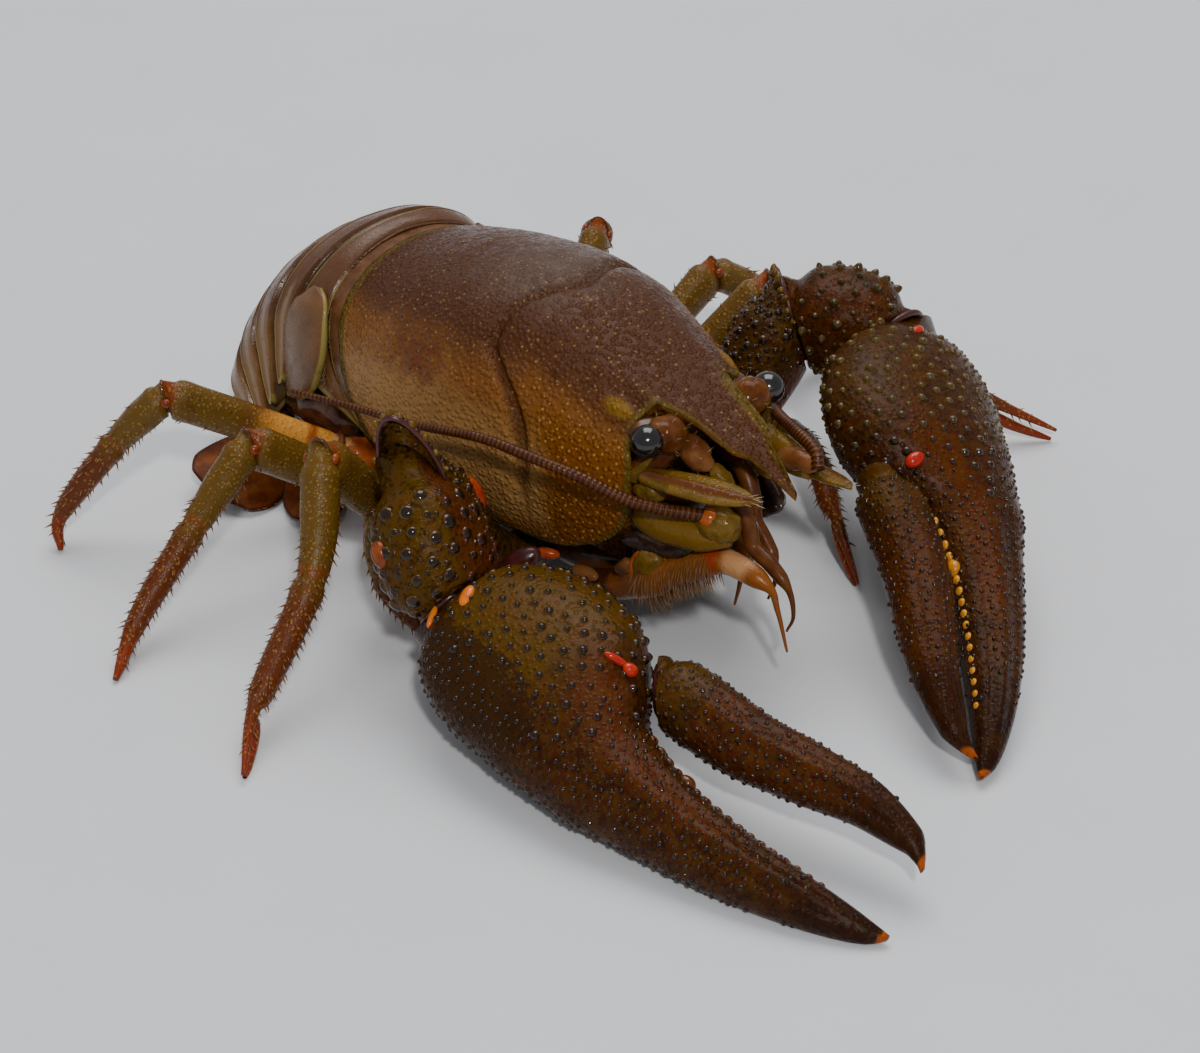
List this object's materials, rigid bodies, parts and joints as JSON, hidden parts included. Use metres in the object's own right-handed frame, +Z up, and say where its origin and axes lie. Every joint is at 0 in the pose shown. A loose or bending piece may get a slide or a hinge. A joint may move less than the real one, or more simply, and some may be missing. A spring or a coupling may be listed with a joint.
{
  "type": "whole crayfish food",
  "caption": "Whole crayfish lying on its legs with open claws, bent tail tucked under and long feelers laid back; one rigid piece of food.",
  "frame": {"origin": "middle of the footprint's box, on the surface it lies on", "axes": "+Z up, head and claws towards -Y, tail towards +Y, the animal's own left at +X"},
  "size_m": [0.1246, 0.1344, 0.0391],
  "materials": {
    "shell": "wet satin shell, dark brown back going to olive and ochre flanks",
    "tail": "satin taupe-brown with amber bands",
    "claw": "wet gloss, dark chocolate brown with olive by the wrist",
    "leg": "satin, amber at the base, olive then red-brown at the ends",
    "eye": "high gloss, blue-black",
    "feeler": "satin, ringed purple-brown",
    "scale": "satin olive-brown plate",
    "mouth": "satin amber membrane and limb segments"
  },
  "bodies": {
    "root": {"antenna_base_l": "mouth", "antenna_base_r": "mouth", "antenna_l": "feeler", "antenna_r": "feeler", "antenna_scale_l": "scale", "antenna_scale_r": "scale", "antennule_l": "feeler", "antennule_r": "feeler", "carapace": "shell", "claw_carpus_l": "claw", "claw_carpus_r": "claw", "claw_finger_l": "claw", "claw_finger_r": "claw", "claw_merus_l": "claw", "claw_merus_r": "claw", "claw_palm_l": "claw", "claw_palm_r": "claw", "eye_l": "eye", "eye_r": "eye", "eyestalk_l": "mouth", "eyestalk_r": "mouth", "face": "mouth", "leg2_l_finger": "leg", "leg2_l_shin": "leg", "leg2_l_thigh": "leg", "leg2_r_finger": "leg", "leg2_r_shin": "leg", "leg2_r_thigh": "leg", "leg3_l_finger": "leg", "leg3_l_shin": "leg", "leg3_l_thigh": "leg", "leg3_r_finger": "leg", "leg3_r_shin": "leg", "leg3_r_thigh": "leg", "leg4_l_shin": "leg", "leg4_l_thigh": "leg", "leg4_r_shin": "leg", "leg4_r_thigh": "leg", "leg5_l_shin": "leg", "leg5_l_thigh": "leg", "leg5_r_shin": "leg", "leg5_r_thigh": "leg", "maxilliped_l": "mouth", "maxilliped_r": "mouth", "somite_1": "tail", "somite_2": "tail", "somite_3": "tail", "somite_4": "tail", "somite_5": "tail", "somite_6": "tail", "sternum": "mouth", "telson": "tail", "uropod_inner_l": "tail", "uropod_inner_r": "tail", "uropod_outer_l": "tail", "uropod_outer_r": "tail"}
  },
  "joints": []
}
